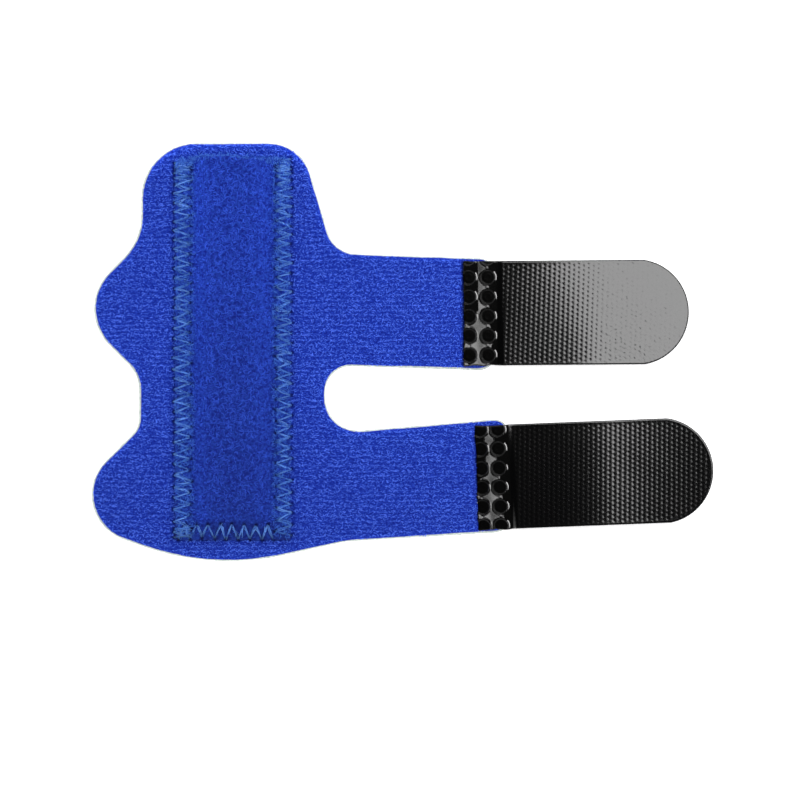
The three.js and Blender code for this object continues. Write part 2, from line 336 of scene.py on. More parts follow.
def ramp_node(tree, factor, stops):
    """Colours along a factor; stops are (place, colour) pairs."""
    ramp = tree.nodes.new("ShaderNodeValToRGB")
    elements = ramp.color_ramp.elements
    while len(elements) < len(stops):
        elements.new(0.5)
    for element, (place, shade) in zip(elements, stops):
        element.position = place
        element.color = shade
    tree.links.new(factor, ramp.inputs["Fac"])
    return ramp


def bump_node(tree, height, distance):
    bump = tree.nodes.new("ShaderNodeBump")
    bump.inputs["Distance"].default_value = distance * MM
    bump.inputs["Strength"].default_value = 1
    tree.links.new(height, bump.inputs["Height"])
    return bump


def painted_shading(tree, shade):
    """A colour scaled by the mesh's shade attribute of painted light and shade, such as the painted shadow
    in a needle hole.
    """
    # The shade attribute holds painted light and shade: painted shadow in holes, painted highlights on
    # edges and threads.
    depth = tree.nodes.new("ShaderNodeAttribute")
    depth.attribute_name = "shade"
    darker = tree.nodes.new("ShaderNodeVectorMath")
    darker.operation = "SCALE"
    tree.links.new(shade, darker.inputs[0])
    tree.links.new(depth.outputs["Fac"], darker.inputs["Scale"])
    return darker.outputs["Vector"]


def mottled(name, dark, light, cell, bump, uses_painted_shading=False):
    """A matt material whose colour wanders between two shades, scaled by painted light and shade when
    uses_painted_shading is set.
    """
    made, tree, shader = material(name, 0.95, specular=0.15)
    texture = noise_node(tree, cell)
    ramp = ramp_node(tree, texture.outputs["Fac"], [(0.35, dark), (0.65, light)])
    shade = painted_shading(tree, ramp.outputs["Color"]) if uses_painted_shading else ramp.outputs["Color"]
    tree.links.new(shade, shader.inputs["Base Color"])
    relief = bump_node(tree, texture.outputs["Fac"], bump)
    tree.links.new(relief.outputs["Normal"], shader.inputs["Normal"])
    return made


def strand_material(name, dark, light, uses_painted_shading=False):
    """A matt thread material with one shade to each strand, scaled by painted light and shade when
    uses_painted_shading is set.
    """
    made, tree, shader = material(name, 0.9, specular=0.15)
    chance = tree.nodes.new("ShaderNodeNewGeometry")
    ramp = ramp_node(tree, chance.outputs["Random Per Island"], [(0.0, dark), (1.0, light)])
    shade = painted_shading(tree, ramp.outputs["Color"]) if uses_painted_shading else ramp.outputs["Color"]
    tree.links.new(shade, shader.inputs["Base Color"])
    return made


def plastic(name, shade, roughness, grain_cell, grain, specular=0.5):
    """Black moulded plastic with a fine grain."""
    made, tree, shader = material(name, roughness, specular)
    shader.inputs["Base Color"].default_value = shade
    texture = noise_node(tree, grain_cell)
    relief = bump_node(tree, texture.outputs["Fac"], grain)
    tree.links.new(relief.outputs["Normal"], shader.inputs["Normal"])
    return made


def node_points(node):
    mesh = node.data
    flat = np.empty(len(mesh.vertices) * 3)
    mesh.vertices.foreach_get("co", flat)
    matrix = np.array(node.matrix_world)
    return (flat.reshape(-1, 3) @ matrix[:3, :3].T + matrix[:3, 3]) / MM


def sheet_outline():
    """The cut edge of the foam in plan, anticlockwise, from the flat back of its CAD solid."""
    node = nodes["foam_backing"]
    points = node_points(node)
    keys = [tuple(p) for p in np.round(points, 3).tolist()]
    ahead = {}
    for face in node.data.polygons:
        corners = [keys[v] for v in face.vertices]
        if max(c[2] for c in corners) > 0.01:
            continue
        for a, b in zip(corners, corners[1:] + corners[:1]):
            ahead.setdefault(a, set()).add(b)
    edges = {a: b for a, ends in ahead.items() for b in ends if a not in ahead.get(b, ())}
    start = next(iter(edges))
    loop = [start]
    while edges[loop[-1]] != start:
        loop.append(edges[loop[-1]])
    plan = np.array(loop)[:, :2]
    area = np.sum(plan[:, 0] * np.roll(plan[:, 1], -1) - np.roll(plan[:, 0], -1) * plan[:, 1])
    return plan if area > 0 else plan[::-1]


def in_tab(tab, x, y):
    """Plan places in a tab's own frame: along it from its welded end, and across it."""
    c, s = turn_parts(tab["tilt"])
    dx = np.asarray(x) - tab["x"]
    dy = np.asarray(y) - tab["y"]
    return c * dx + s * dy, c * dy - s * dx


def from_tab(tab, points):
    c, s = turn_parts(tab["tilt"])
    u, v, z = points.T
    return np.column_stack([tab["x"] + c * u - s * v, tab["y"] + s * u + c * v, z])


def pressed(x, y):
    """0 on the open sheet and 1 under the welds."""
    share = np.zeros(np.shape(x))
    for tab in TABS:
        u, v = in_tab(tab, x, y)
        share = np.maximum(share, smooth(-PRESS_RUN, 0.1, u) * (np.abs(v) < 14))
    return share


def knit_turn(x, y):
    """Phase of the knitted rows in radians; their ridges lie at a quarter turn."""
    return 2 * math.pi * (y / 0.97 + 0.25 * noise(x, y, 2.5, 11))


def face_height(x, y, edge):
    """Top of the loop fabric: knitted rows under a brushed nap, rolled down at the cut edge."""
    free = 1 - pressed(x, y)
    relief = 0.05 * np.sin(knit_turn(x, y))
    relief = relief + 0.05 * noise(x, y, 0.35, 12) + 0.04 * noise(x, y, 0.9, 13)
    relief = relief + 0.07 * noise(x, y, 8, 14)
    rolled = 0.5 * (1 - np.clip(edge / 0.8, 0, 1)) ** 2
    return mix(PRESSED_FACE_TOP, FACE_TOP - 0.08, free) + (0.25 + 0.75 * free) * (relief - rolled)


def foam_sheet(outline, foam):
    """Closed-cell foam: a flat back, a soft cut edge that swells a little, and a top under the cloth."""
    loop = evenly(outline, 0.3)
    out = outward(loop)
    top = mix(FOAM_TOP, PRESSED_FOAM_TOP, pressed(*loop.T))
    rings = []
    for t in np.linspace(0, 1, 9):
        swell = 0.16 * math.sin(math.pi * t) - 0.12 * (t < 0.01) - 0.1 * (t > 0.99)
        z = t * top
        rough = 0.05 * noise(loop[:, 0] + 3 * z, loop[:, 1] - 2 * z, 0.5, 21 + int(9 * t)) * (0 < t < 1)
        rings.append(level(loop + out * (swell + rough)[:, None], z))
    lowest = rings[0][:, :2]
    highest = rings[-1][:, :2]
    under_points, under_faces = filled(lowest, grid_inside(lowest, 1.4, 1.2, 0.7, seed=22))
    over_points, over_faces = filled(highest, grid_inside(highest, 1.2, 1.0, 0.6, seed=23))
    over_z = mix(FOAM_TOP, PRESSED_FOAM_TOP, pressed(*over_points.T))
    points, faces = joined([
        wall(rings),
        (level(under_points, 0.0), under_faces[:, ::-1]),
        (level(over_points, over_z), over_faces),
    ])
    piece = add_object("foam_sheet", *sewn(points, faces), [foam])
    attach(piece, "root")
    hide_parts("foam_backing")
    return piece


def fabric_edge(outline):
    """The loop fabric's own cut edge, a little inside the foam's and not quite even."""
    loop = evenly(outline, 0.3)
    out = outward(loop)
    inset = 0.14 + 0.1 * smooth(-0.2, -0.9, out[:, 0]) + 0.06 * noise(loop[:, 0], loop[:, 1], 3, 31)
    below = smooth(-0.6, -0.95, out[:, 1]) * smooth(-2, 2, loop[:, 0])
    return loop - out * (inset + 0.12 * below)[:, None]


def loop_fabric(edge, blue):
    inner = grid_inside(edge, 0.31, 0.27, 0.2, seed=32)
    points, faces = filled(edge, inner)
    distance = edge_distance(edge, points)
    top = face_height(points[:, 0], points[:, 1], distance)
    top -= 0.55 * np.exp(-((hole_distance(*points.T) / HOLE_RADIUS) ** 2))
    out = outward(edge)
    rim_top = level(edge, face_height(edge[:, 0], edge[:, 1], np.zeros(len(edge))))
    rim = [rim_top]
    for t in (0.35, 0.7, 1.0):
        low = mix(FOAM_TOP, PRESSED_FOAM_TOP, pressed(*edge.T)) - 0.02
        rim.append(level(edge + out * (0.05 * math.sin(math.pi * t)), mix(rim_top[:, 2], low, t)))
    points, faces = sewn(*joined([wall(rim[::-1]), (level(points, top), faces)]))
    x, y = points[:, 0], points[:, 1]
    # Painted shadow in the needle holes and painted light at the cut edge.
    shade = painted_hole_shadow(x, y) * painted_edge_light(x, y, edge_distance(edge, points[:, :2]))
    piece = add_object("loop_fabric", points, faces, [blue], shade=shade)
    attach(piece, "root")
    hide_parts("loop_face")
    return piece


def fabric_nap(edge, shade):
    """Brushed loops that lie every way on the fabric's open face."""
    rng = np.random.default_rng(41)
    plan = grid_inside(edge, 0.41, 0.35, 0.12, seed=42)
    plan = plan + rng.uniform(-0.16, 0.16, plan.shape)
    plan[:, 1] += 0.1 * np.cos(knit_turn(*plan.T))
    lo, hi = pocket_box()
    covered = (plan[:, 0] > lo[0] + 0.4) & (plan[:, 0] < hi[0] - 0.4)
    covered &= (plan[:, 1] > lo[1] + 0.4) & (plan[:, 1] < hi[1] - 1.5)
    for tab in TABS:
        u, v = in_tab(tab, *plan.T)
        covered |= (u > -0.1) & (np.abs(v) < TAB_WIDTH / 2)
    covered |= hole_distance(*plan.T) < 0.45
    plan = plan[~covered]
    count = len(plan)
    distance = edge_distance(edge, plan)
    ground = face_height(plan[:, 0], plan[:, 1], distance)
    heading = rng.uniform(0, math.pi, count)
    level_ones = rng.random(count) < 0.6
    heading[level_ones] = rng.normal(0, 0.45, level_ones.sum())
    points, faces = strands(
        plan, ground + 0.02, heading, rng.uniform(0.35, 0.75, count), rng.uniform(-0.4, 0.4, count),
        rng.uniform(0.03, 0.15, count), rng.uniform(0.11, 0.19, count), 2,
    )
    # The nap strands take the cloth's painted edge light and painted shade.
    painted_lightness = np.repeat(painted_edge_light(plan[:, 0], plan[:, 1], distance), len(points) // count)
    piece = add_object("fabric_nap", points, faces, [shade], shade=painted_lightness)
    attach(piece, "root")
    return piece


def pocket_box():
    lo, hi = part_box("stay_pocket")
    return np.array(lo) / MM, np.array(hi) / MM


def mouth_edge(x):
    """How far the cut mouth of the tape wanders from a straight line."""
    lo, hi = pocket_box()
    s = (x - lo[0]) / (hi[0] - lo[0])
    wander = np.interp(s, [0, 0.1, 0.26, 0.45, 0.6, 0.85, 1], [-1.3, -0.8, -0.1, -0.1, -0.55, -0.5, -1.1])
    return wander + 0.12 * noise(x, 0 * x, 0.6, 51)


def pocket_rise(x, y):
    lo, hi = pocket_box()
    middle = (lo[0] + hi[0]) / 2
    over_hem = (hi[0] - lo[0]) / 2 - np.abs(x - middle) - HEM_WIDTH
    past_hem = y - lo[1] - HEM_WIDTH
    return smooth(0, POCKET_SHOULDER, over_hem) * smooth(0, POCKET_CLOSING, past_hem)


def pocket_under(x, y):
    return FACE_TOP + 0.05 + POCKET_HOLLOW * pocket_rise(x, y)


def pocket_top(x, y):
    rise = pocket_rise(x, y)
    pile = 0.06 * noise(x, y, 0.6, 52) + 0.08 * noise(x, y, 2.2, 53)
    return pocket_under(x, y) + mix(HEM_THICKNESS, TAPE_THICKNESS, rise) + pile * (0.35 + 0.65 * rise)


def side_stitches(x_left, x_right, y_low, y_high, seed):
    """Legs of a zigzag seam up one side, as (start, end) plan places."""
    rng = np.random.default_rng(seed)
    count = int((y_high - y_low) / STITCH_STEP)
    t = np.linspace(0, 1, count + 1)
    ys = mix(y_low, y_high, t + 0.12 * t * (1 - t))
    ys = np.append(ys[:-4], np.linspace(ys[-4], ys[-1], 6))
    places = []
    for k, y in enumerate(ys):
        x = x_left if k % 2 else x_right
        places.append((x + rng.normal(0, 0.1), y + rng.normal(0, 0.13)))
    return list(zip(places[:-1], places[1:]))


def loose_plies(legs, seed):
    """Thinner plies that wander beside the legs of a worn seam."""
    rng = np.random.default_rng(seed)
    plies = []
    for (x0, y0), (x1, y1) in legs:
        for _ in range(2):
            if rng.random() < 0.75:
                cut = rng.uniform(0.0, 0.3, 2)
                a = mix(np.array((x0, y0)), np.array((x1, y1)), cut[0]) + rng.normal(0, 0.24, 2)
                b = mix(np.array((x1, y1)), np.array((x0, y0)), cut[1]) + rng.normal(0, 0.24, 2)
                plies.append((tuple(a), tuple(b)))
    return plies


def seam_legs():
    """Every stitch as (start, end) plan places: both sides, the closed end, and three tacks."""
    lo, hi = pocket_box()
    rng = np.random.default_rng(61)
    left = side_stitches(lo[0] - 0.2, lo[0] + 3.05, lo[1] + 0.5, hi[1] - 2.9, 62)
    right = side_stitches(hi[0] - 2.95, hi[0] + 0.05, lo[1] + 0.6, hi[1] - 1.9, 63)
    legs = left + right
    xs = np.arange(lo[0] + 0.7, hi[0] - 3.0, 1.15)
    foot, peak = lo[1] + 0.15, lo[1] + 3.1
    places = []
    for k, x in enumerate(xs):
        places.append((x + rng.normal(0, 0.08), (peak if k % 2 else foot) + rng.normal(0, 0.08)))
    legs += list(zip(places[:-1], places[1:]))
    for k in range(5):
        y = hi[1] - 2.9 + 0.37 * k
        start = (lo[0] - 0.05 + rng.normal(0, 0.22), y)
        legs.append((start, (lo[0] + 2.95 + rng.normal(0, 0.22), y + rng.normal(0, 0.2))))
    for k in range(3):
        y = lo[1] + 0.5 + 0.8 * k
        start = (lo[0] - 0.1 + rng.normal(0, 0.15), y)
        legs.append((start, (lo[0] + 3.2 + rng.normal(0, 0.2), y + rng.normal(0.2, 0.4))))
    for k in range(4):
        y = hi[1] - 2.2 + 0.4 * k
        legs.append(((hi[0] - 2.9 + 0.3 * k, y), (hi[0] - 0.1, y + rng.normal(0, 0.3))))
    return legs


def hole_distance(x, y):
    """Distance from each place to the nearest needle hole, at the ends of the stitch legs."""
    holes = [place for leg in seam_legs() for place in leg]
    tree = KDTree(len(holes))
    for k, (px, py) in enumerate(holes):
        tree.insert((px, py, 0), k)
    tree.balance()
    places = zip(np.ravel(x).tolist(), np.ravel(y).tolist())
    return np.array([tree.find((px, py, 0))[2] for px, py in places]).reshape(np.shape(x))


def painted_hole_shadow(x, y):
    """Painted shadow: 1 on open cloth, falling in and round each needle hole."""
    return 1 - 0.8 * np.exp(-((hole_distance(x, y) / 0.3) ** 2))


def painted_edge_light(x, y, edge):
    """Painted highlight: brushed cloth is painted lighter where its fibres catch the light over the cut
    edge, most of all at the fingertip end; painted shade darkens it towards the lower end.
    """
    top = smooth(33, 38, y)
    lit = 1 + (0.3 + 0.25 * top) * np.exp(-edge / 0.45) + 0.22 * top
    return lit * mix(1, 0.92, smooth(-2, -36, y))


def pocket_tone_and_painted_light(x, y):
    """The tape's colour scale: darker towards its closed end and along its bottom hem, painted light on the
    shoulders beside its side hems, and painted shadow in the needle holes.
    """
    lo, hi = pocket_box()
    end = mix(0.79, 1.06, smooth(lo[1], hi[1], y)) * mix(0.75, 1, smooth(2.6, 4.2, y - lo[1]))
    # Painted light on the shoulders, where their slope turns them from the key light.
    left = 0.25 * np.exp(-(((x - lo[0] - 5) / 2) ** 2))
    right = 0.1 * np.exp(-(((x - hi[0] + 5) / 2) ** 2))
    return end * (1 + (left + right)) * painted_hole_shadow(x, y)


def leg_distance(x, y, legs):
    """Distance from each place to the nearest stitch leg."""
    nearest = np.full(np.shape(x), 9.0)
    for (x0, y0), (x1, y1) in legs:
        dx, dy = x1 - x0, y1 - y0
        t = np.clip(((x - x0) * dx + (y - y0) * dy) / (dx * dx + dy * dy), 0, 1)
        nearest = np.minimum(nearest, np.hypot(x - x0 - t * dx, y - y0 - t * dy))
    return nearest


def hem_height(x, y, legs):
    """Top of the tape, pulled down along the stitches and into the needle holes."""
    z = pocket_top(x, y)
    lo, hi = pocket_box()
    hem = (x < lo[0] + 3.9) | (x > hi[0] - 3.9) | (y < lo[1] + 3.9)
    z[hem] -= 0.22 * np.exp(-((leg_distance(x[hem], y[hem], legs) / 0.24) ** 2))
    return z - 0.5 * np.exp(-((hole_distance(x, y) / HOLE_RADIUS) ** 2))


def pocket_tape(tape, legs):
    """The tape as one closed mesh: its top, its underside and the cut edge round them."""
    lo, hi = pocket_box()
    across, along = 84, 270
    run = 74
    s, t = np.meshgrid(np.linspace(0, 1, across), np.linspace(0, 1, along))
    wobble = 0.12 * noise(0 * t, t * run, 1.8, 54) * (1 - 2 * (s > 0.5))
    x = lo[0] + s * (hi[0] - lo[0]) + wobble * np.abs(2 * s - 1) ** 4
    y = lo[1] + t * (hi[1] + mouth_edge(x) - lo[1])
    edge = np.minimum(np.minimum(x - lo[0], hi[0] - x), np.minimum(y - lo[1], (1 - t) * run))
    rounded = 0.22 * (1 - np.clip(edge / 0.35, 0, 1)) ** 2
    over = hem_height(x, y, legs) - rounded
    under = pocket_under(x, y)
    over_points = np.stack([x, y, np.maximum(over, under + 0.1)], -1).reshape(-1, 3)
    under_points = np.stack([x, y, under], -1).reshape(-1, 3)
    flat = quads(along, across)
    ring = np.concatenate([
        np.arange(across), np.arange(1, along) * across + across - 1,
        (along - 1) * across + np.arange(across - 2, -1, -1), np.arange(along - 2, 0, -1) * across,
    ])
    rim = wall([under_points[ring], over_points[ring]])
    points, faces = joined([(over_points, flat), (under_points, flat[:, ::-1]), rim])
    points, faces = sewn(points, faces)
    # The tape's shade attribute carries painted light on its shoulders and painted shadow in its holes.
    piece = add_object("pocket_tape", points, faces, [tape], shade=pocket_tone_and_painted_light(points[:, 0], points[:, 1]))
    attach(piece, "root")
    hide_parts("stay_pocket")
    return piece


def pocket_pile(shade, legs):
    """Longer curled loops that stand on the tape."""
    rng = np.random.default_rng(71)
    lo, hi = pocket_box()
    plan = rng.uniform(lo[:2] + 0.2, hi[:2] - (0.2, 0.0), (PILE_STRANDS, 2))
    plan = plan[plan[:, 1] < hi[1] + mouth_edge(plan[:, 0]) - 0.15]
    hem = (plan[:, 0] < lo[0] + 3.4) | (plan[:, 0] > hi[0] - 3.4) | (plan[:, 1] < lo[1] + 3.3)
    plan = plan[~hem | (rng.random(len(plan)) < 0.45)]
    count = len(plan)
    rise = pocket_rise(plan[:, 0], plan[:, 1])
    ground = hem_height(plan[:, 0], plan[:, 1], legs) + 0.22 * (rise < 0.02) * (rng.random(count) < 0.5)
    points, faces = strands(
        plan, ground + 0.01, rng.uniform(0, 2 * math.pi, count),
        rng.uniform(0.45, 1.2, count) * (0.6 + 0.4 * rise), rng.uniform(-0.5, 0.5, count),
        rng.uniform(0.04, 0.22, count) * (0.4 + 0.6 * rise), rng.uniform(0.11, 0.18, count), 3,
    )
    # The pile strands take the tape's painted light and painted shadow.
    painted_lightness = pocket_tone_and_painted_light(points[:, 0], points[:, 1])
    piece = add_object("pocket_pile", points, faces, [shade], shade=painted_lightness)
    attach(piece, "root")
    return piece


def loose_fibres(shade, legs):
    """Loose ends along the cut mouth of the tape, and short ones that fray from both side hems."""
    rng = np.random.default_rng(75)
    lo, hi = pocket_box()
    count = MOUTH_FIBRES
    x = rng.uniform(lo[0] + 0.2, hi[0] - 0.2, count)
    y = hi[1] + mouth_edge(x) - 0.3 + rng.normal(0, 0.35, count)
    ground = pocket_under(x, y) + rng.uniform(0.1, 0.9, count)
    mouth = strands(
        np.column_stack([x, y]), ground, rng.normal(math.pi / 2, 0.8, count), rng.uniform(0.3, 0.9, count),
        rng.uniform(-0.7, 0.7, count), rng.uniform(0.0, 0.2, count), rng.uniform(0.08, 0.16, count), 4,
    )
    count = HEM_FIBRES
    leftward = rng.random(count) < 0.5
    x = np.where(leftward, lo[0] + rng.uniform(0.1, 3.7, count), hi[0] - rng.uniform(0.1, 3.5, count))
    y = rng.uniform(lo[1] + 0.2, hi[1] - 1.2, count)
    ground = hem_height(x, y, legs) + rng.uniform(0.05, 0.3, count)
    hem = strands(
        np.column_stack([x, y]), ground, rng.uniform(0, math.pi, count), rng.uniform(0.35, 1.1, count),
        rng.uniform(-0.6, 0.6, count), rng.uniform(0.0, 0.12, count), rng.uniform(0.06, 0.12, count), 3,
    )
    piece = add_object("loose_fibres", *joined([mouth, hem]), [shade])
    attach(piece, "root")
    return piece


def seam_thread(shade, legs):
    """Two-ply thread: each leg lies on the tape and dives into its needle holes."""
    parts = []
    painted_lightness = []
    low = pocket_box()[0][1]
    rng = np.random.default_rng(76)
    for k, ((x0, y0), (x1, y1)) in enumerate(legs):
        length = math.hypot(x1 - x0, y1 - y0)
        steps = max(8, int(length / 0.16))
        t = np.linspace(0, 1, steps + 1)
        x = mix(x0, x1, t)
        y = mix(y0, y1, t)
        z = hem_height(x, y, [((x0, y0), (x1, y1))])
        z = np.maximum(z + rng.uniform(0.02, 0.12), FACE_TOP - 0.1) - 0.35 * (np.abs(2 * t - 1) ** 8)
        side = np.array([-(y1 - y0), x1 - x0, 0]) / length
        turn = 2 * math.pi * t * length / 0.75 + k
        for phase in (0, math.pi):
            c, s = np.cos(turn + phase)[:, None], np.sin(turn + phase)[:, None]
            path = np.column_stack([x, y, z]) + 0.085 * (c * side + s * (0, 0, 1))
            parts.append(tube(path, THREAD_RADIUS, 5))
            # Painted shade on the lower legs, darkest at the bottom hem, and a painted highlight near each
            # leg's middle.
            painted_heel_shade = mix(0.42, 1, smooth(0.1, 2.7, y - low)) * rng.uniform(0.75, 1.1)
            peak = rng.uniform(0.35, 0.65)
            painted_lightness.append(np.repeat(painted_heel_shade * mix(0.58, 1.1, np.exp(-(((t - peak) / 0.26) ** 2))), 5))
    for (x0, y0), (x1, y1) in loose_plies(legs, 77):
        t = np.linspace(0, 1, 9)
        bow = rng.normal(0, 0.14) * np.sin(math.pi * t)
        x = mix(x0, x1, t) + bow
        y = mix(y0, y1, t) + bow
        z = hem_height(x, y, []) + rng.uniform(0.0, 0.1) + 0.05 * np.sin(math.pi * t)
        parts.append(tube(np.column_stack([x, y, z]), rng.uniform(0.05, 0.09), 4))
        # The loose plies get the same painted shade low down and a painted highlight along their middles.
        painted_heel_shade = mix(0.42, 1, smooth(0.1, 2.7, y - low)) * rng.uniform(0.6, 1.1)
        painted_lightness.append(np.repeat(painted_heel_shade * mix(0.6, 1, np.sin(math.pi * t)), 4))
    piece = add_object("seam_thread", *joined(parts), [shade], shade=np.concatenate(painted_lightness))
    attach(piece, "root")
    return piece


def tab_loop(tab, spacing):
    """Plan of a tab in its own frame: a worn welded end, straight sides and a round tip."""
    half = TAB_WIDTH / 2
    length = tab["length"]
    radius = (half * half + TAB_TIP * TAB_TIP) / (2 * TAB_TIP)
    spread = math.asin(half / radius)
    turns = np.linspace(-spread, spread, 60)
    tip = np.column_stack([length - radius + radius * np.cos(turns), radius * np.sin(turns)])
    loop = evenly(np.vstack([[0, -half], [length - TAB_TIP, -half], tip, [0, half]]), spacing)
    weld = smooth(WELD_LENGTH + 0.5, WELD_LENGTH - 1, loop[:, 0])
    wobble = 0.18 * noise(loop[:, 0], loop[:, 1], 1.6, tab["edge_seed"])
    return loop + outward(loop) * (wobble * weld)[:, None]


def tab_line(tab, u, v):
    """Height of the tape's smooth face: a short step from the weld, then its slopes, slightly twisted."""
    along = np.linspace(WELD_LENGTH, tab["length"], 200)
    lines = []
    for slopes in (tab["low_slopes"], tab["high_slopes"]):
        fall = np.tan(np.radians(np.interp(along, *zip(*slopes)))) * (along[1] - along[0])
        lines.append(np.interp(u, along, tab["tip_top"] + np.cumsum(fall[::-1])[::-1]))
    twisted = mix(lines[0], lines[1], v / TAB_RULING + 0.5)
    return mix(tab["weld_top"], twisted, smooth(WELD_LENGTH - 0.2, WELD_LENGTH + 1.1, u))


def dots(u, v):
    """Shallow dimples on a staggered grid, one over each hook."""
    c, s = turn_parts(DOT_SKEW)
    a = c * u + s * v
    b = c * v - s * u
    column = np.round(a / DOT_COLUMN)
    offset = 0.5 * DOT_ROW * (column % 2)
    row = np.round((b - offset) / DOT_ROW)
    da = a - column * DOT_COLUMN
    db = b - offset - row * DOT_ROW
    return np.exp(-((da / 0.25) ** 2) - (db / 0.38) ** 2)


def pit_distance(tab, u, v):
    """Distance to the nearest pit of the weld."""
    nearest = np.full(np.shape(u), 9.0)
    for column in tab["columns"]:
        for row in range(PIT_ROWS):
            y = (row - (PIT_ROWS - 1) / 2) * tab["row_pitch"] + tab["row_shift"]
            nearest = np.minimum(nearest, np.hypot(u - column, v - y))
    return nearest


def down_tab(v):
    """0 at a tab's upper side and 1 at its lower side."""
    return np.clip(0.5 - v / TAB_WIDTH, 0, 1)


def weld_star(tab, u, v):
    """1 on the small plates between the pits and 0 round the pits themselves."""
    middle = sum(tab["columns"]) / 2
    share = down_tab(v)
    left = mix(*tab["left_reach"], smooth(0.42, 0.62, share))
    right = mix(*tab["right_reach"], share)
    reach = np.where(u < middle, left, right) + 0.25 * noise(u, v, 1.3, 83 + tab["seed"])
    near = pit_distance(tab, u, v) + 0.12 * noise(u, v, 1.1, 81 + tab["seed"])
    return smooth(PLATE_EDGE, 1.72, near) * smooth(reach, reach - 0.2, np.abs(u - middle))


def ridge_facing(tab, u, v, r):
    """1 on the side of a pit that faces the free end, where its ridge stands."""
    near, far = tab["columns"]
    column = np.where(u > (near + far) / 2, far, near)
    facing = (u - column) / np.maximum(r, 0.1)
    return smooth(0.75, 0.95, facing + 0.1 * noise(u, v, 1.7, 82 + tab["seed"]))


def weld_kinds(tab, u, v):
    """Which material each place of the weld has: 1 a ridge, 2 a plate, 3 the rings and pits, in a dull
    black as painted shade.
    """
    r = pit_distance(tab, u, v)
    ridge = (r > 1.42) & (r < 1.75) & (ridge_facing(tab, u, v, r) > 0.3)
    return np.where(weld_star(tab, u, v) > 0.5, 2, np.where(ridge, 1, 3))


def weld_relief(tab, u, v):
    """Round pits with a short ridge on their far side, and plates between them that tip to the free end."""
    r = pit_distance(tab, u, v)
    bowl = -0.4 * (1 - smooth(PIT_RADIUS, 1.38, r)) + 0.008 * np.exp(-(((r - 0.6) / 0.2) ** 2))
    middle = sum(tab["columns"]) / 2
    ridge = 0.05 * ridge_facing(tab, u, v, r) * np.exp(-(((r - RIDGE_RADIUS) / 0.15) ** 2))
    centre = np.select([u < middle - 1.5, u > middle + 1.5], [middle - 2.1, middle + 2.1], middle)
    tip = mix(*tab["tips"], down_tab(v)) + 2.2 * noise(u, v, 2.6, 85 + tab["seed"])
    slope = np.tan(np.radians(tip))
    melt = 0.003 * noise(u, v, 0.7, 84 + tab["seed"])
    rise = 0.045 * (u - WELD_LENGTH)
    return bowl + ridge + rise - (slope + 0.045) * (u - centre) * weld_star(tab, u, v) + melt


def tab_top(tab, u, v, edge):
    weld = smooth(WELD_LENGTH + 0.1, WELD_LENGTH - 0.15, u)
    height = tab_line(tab, u, v)
    fade = smooth(WELD_LENGTH + 0.2, WELD_LENGTH + 0.9, u) * smooth(0.25, 0.8, edge)
    end = smooth(tab["dots_end"] - 4, tab["dots_end"] + 1, u)
    free = -0.017 * dots(u, v) * fade * mix(1, 0.55, end) + 0.008 * noise(u, v, 6, 86)
    free = free + 0.006 * end * noise(u, v, 0.28, 88)
    rounded = 0.12 * (1 - np.clip(edge / 0.16, 0, 1)) ** 2
    return height + mix(free, weld_relief(tab, u, v), weld) - rounded


def tab_bottom(tab, u, v):
    weld = smooth(WELD_LENGTH + 0.2, WELD_LENGTH - 0.2, u)
    return mix(tab_line(tab, u, v) - TAB_THICKNESS, WELD_UNDERSIDE, weld)


def hook_tab(tab, materials):
    loop = tab_loop(tab, 0.16)
    inner = grid_inside(loop, 0.158, 0.129, 0.08)
    weld = inner[:, 0] < WELD_LENGTH + 0.4
    fine = grid_inside(loop, 0.098, 0.09, 0.08)
    inner = np.vstack([inner[~weld], fine[fine[:, 0] < WELD_LENGTH + 0.4]])
    plan, faces = filled(loop, inner)
    top = tab_top(tab, plan[:, 0], plan[:, 1], edge_distance(loop, plan))
    centre = plan[faces].mean(axis=1)
    kinds = np.where(centre[:, 0] > WELD_LENGTH, 0, weld_kinds(tab, *centre.T))
    rim_top = level(loop, tab_top(tab, loop[:, 0], loop[:, 1], np.zeros(len(loop))))
    rim_low = level(loop, tab_bottom(tab, loop[:, 0], loop[:, 1]))
    sides = wall([rim_low, mix(rim_low, rim_top, 0.5) + level(outward(loop) * 0.03, 0.0), rim_top])
    base_plan, base_faces = filled(loop, grid_inside(loop, 0.9, 0.8, 0.4, seed=87))
    base = level(base_plan, tab_bottom(tab, base_plan[:, 0], base_plan[:, 1]))
    points, every = joined([(level(plan, top), faces), sides, (base, base_faces[:, ::-1])])
    kinds = np.concatenate([kinds, np.zeros(len(sides[1]) + len(base_faces), dtype=int)])
    piece = add_object("tab_" + tab["name"], from_tab(tab, points), every, materials, kinds)
    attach(piece, "root")
    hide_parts("hook_tab_" + tab["name"])
    return piece


def one_hook():
    """A moulded hook that hangs below z = 0 and curls over at its end."""
    path = np.array([
        (0, 0.05), (0.01, -0.2), (0.05, -0.42), (0.16, -0.6), (0.33, -0.68), (0.47, -0.6), (0.52, -0.47),
    ])
    depth = np.array([0.2, 0.15, 0.12, 0.1, 0.09, 0.07, 0.04])
    width = np.array([0.13, 0.1, 0.09, 0.09, 0.08, 0.07, 0.05])
    along = np.gradient(path, axis=0)
    along /= np.hypot(*along.T)[:, None]
    side = np.column_stack([-along[:, 1], along[:, 0]])
    rings = []
    for a, b in ((-1, -1), (1, -1), (1, 1), (-1, 1)):
        place = path + a * side * depth[:, None]
        rings.append(np.column_stack([place[:, 0], b * width, place[:, 1]]))
    points = np.stack(rings, 1).reshape(-1, 3)
    last = len(points) - 4
    end = [(last, last + 1, last + 2), (last, last + 2, last + 3)]
    return points, np.vstack([quads(len(path), 4, closed=True), end])


